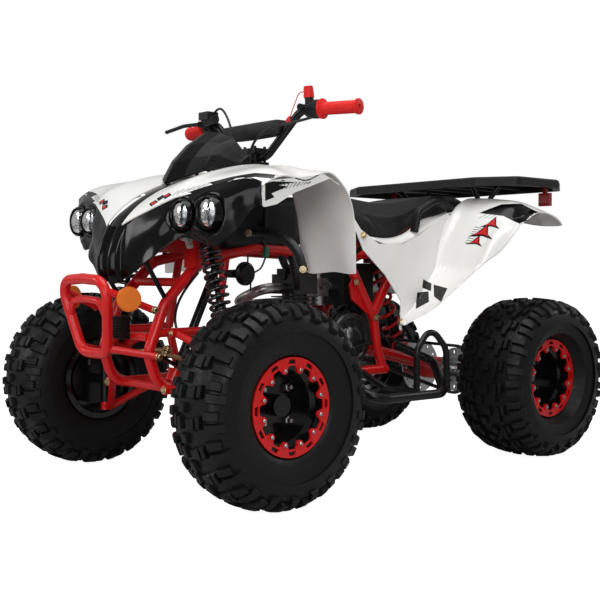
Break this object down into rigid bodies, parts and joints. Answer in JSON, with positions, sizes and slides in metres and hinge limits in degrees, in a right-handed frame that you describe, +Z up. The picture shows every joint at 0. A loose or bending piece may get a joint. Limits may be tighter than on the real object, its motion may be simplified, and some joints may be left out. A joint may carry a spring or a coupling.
{
  "type": "quad bike",
  "caption": "Sport quad bike with knobbly balloon tyres, steered front wheels, chain-driven solid rear axle, saddle, handlebar and rear carrier.",
  "frame": {"origin": "on the floor, below the middle of the wheelbase, on the centre plane", "axes": "+Z up, the bike faces -Y, +X is the rider's left"},
  "size_m": [1.004, 1.58, 1.0331],
  "materials": {
    "red_paint": "gloss powder coat",
    "black_paint": "satin powder coat",
    "engine_black": "satin",
    "alloy": "cast, bare",
    "steel": "machined",
    "zinc": "yellow zinc plate",
    "exhaust_steel": "heat-proof black",
    "tyre_rubber": "matt",
    "white_plastic": "gloss",
    "black_gloss": "gloss",
    "black_plastic": "matt",
    "lens": "clear",
    "amber_lens": "moulded reflector",
    "red_lens": "moulded reflector",
    "seat_cover": "matt vinyl",
    "grip_rubber": "matt",
    "pad_foam": "matt"
  },
  "bodies": {
    "chassis": {"frame_sides": "red_paint", "frame_crossings": "red_paint", "wishbones": "red_paint", "front_dampers": "black_paint", "front_springs": "black_paint", "rear_damper": "black_paint", "rear_spring": "black_paint", "crankcase": "engine_black", "engine_covers": "engine_black", "cylinder_head": "engine_black", "intake": "alloy", "air_box": "black_plastic", "exhaust": "exhaust_steel", "swingarm": "red_paint", "brake_caliper": "alloy", "chain": "steel", "front_fenders": "white_plastic", "nose_mask": "black_gloss", "lamp_bowls": "black_plastic", "lamp_lenses": "lens", "cowl": "black_gloss", "seat": "seat_cover", "side_panels": "white_plastic", "rear_fenders": "white_plastic", "grab_handles": "black_plastic", "rack": "black_plastic", "rack_posts": "black_paint", "reflectors": "red_lens", "bumper": "red_paint", "regulator": "engine_black", "horn": "black_paint", "gear_lever": "black_paint", "round_reflectors": "amber_lens", "foot_guards": "black_paint", "fender_stays": "black_paint"},
    "handlebar": {"handlebar": "black_paint", "stem": "black_paint", "grips": "grip_rubber", "bar_pad": "pad_foam", "hand_controls": "black_plastic"},
    "tie_rod_left": {"tie_rod_left": "zinc"},
    "tie_rod_right": {"tie_rod_right": "zinc"},
    "knuckle_left": {"knuckle_left": "black_paint"},
    "knuckle_right": {"knuckle_right": "black_paint"},
    "wheel_front_left": {"tyre_front_left": "tyre_rubber", "rim_front_left": "black_paint", "ring_front_left": "red_paint"},
    "wheel_front_right": {"tyre_front_right": "tyre_rubber", "rim_front_right": "black_paint", "ring_front_right": "red_paint"},
    "rear_axle": {"rear_axle": "steel", "rear_sprocket": "steel", "brake_disc": "steel", "rear_tyres": "tyre_rubber", "rear_rims": "black_paint", "rear_rings": "red_paint"}
  },
  "joints": [
    {"name": "steer", "type": "hinge", "parent": "chassis", "child": "handlebar", "pos_m": [0, -0.5, 0.3], "axis": [0, 0.438, 0.899], "range_deg": [-30, 30]},
    {"name": "kingpin_left", "type": "hinge", "parent": "chassis", "child": "knuckle_left", "pos_m": [0.318, -0.525, 0.245], "axis": [0, 0, 1], "range_deg": [-30, 30]},
    {"name": "tie_rod_left_pivot", "type": "hinge", "parent": "handlebar", "child": "tie_rod_left", "pos_m": [0, -0.53816, 0.33584], "axis": [0, 0.438, 0.899], "range_deg": [-30, 30]},
    {"name": "front_wheel_left_spin", "type": "hinge", "parent": "knuckle_left", "child": "wheel_front_left", "pos_m": [0.412, -0.525, 0.245], "axis": [1, 0, 0], "continuous": true},
    {"name": "kingpin_right", "type": "hinge", "parent": "chassis", "child": "knuckle_right", "pos_m": [-0.318, -0.525, 0.245], "axis": [0, 0, 1], "range_deg": [-30, 30]},
    {"name": "tie_rod_right_pivot", "type": "hinge", "parent": "handlebar", "child": "tie_rod_right", "pos_m": [0, -0.53181, 0.34887], "axis": [0, 0.438, 0.899], "range_deg": [-30, 30]},
    {"name": "front_wheel_right_spin", "type": "hinge", "parent": "knuckle_right", "child": "wheel_front_right", "pos_m": [-0.412, -0.525, 0.245], "axis": [1, 0, 0], "continuous": true},
    {"name": "rear_axle_spin", "type": "hinge", "parent": "chassis", "child": "rear_axle", "pos_m": [0, 0.525, 0.236], "axis": [1, 0, 0], "continuous": true}
  ],
  "couplings": [
    {"joint": "kingpin_left", "follows": "steer", "ratio": 1},
    {"joint": "tie_rod_left_pivot", "follows": "steer", "ratio": -1},
    {"joint": "kingpin_right", "follows": "steer", "ratio": 1},
    {"joint": "tie_rod_right_pivot", "follows": "steer", "ratio": -1}
  ]
}
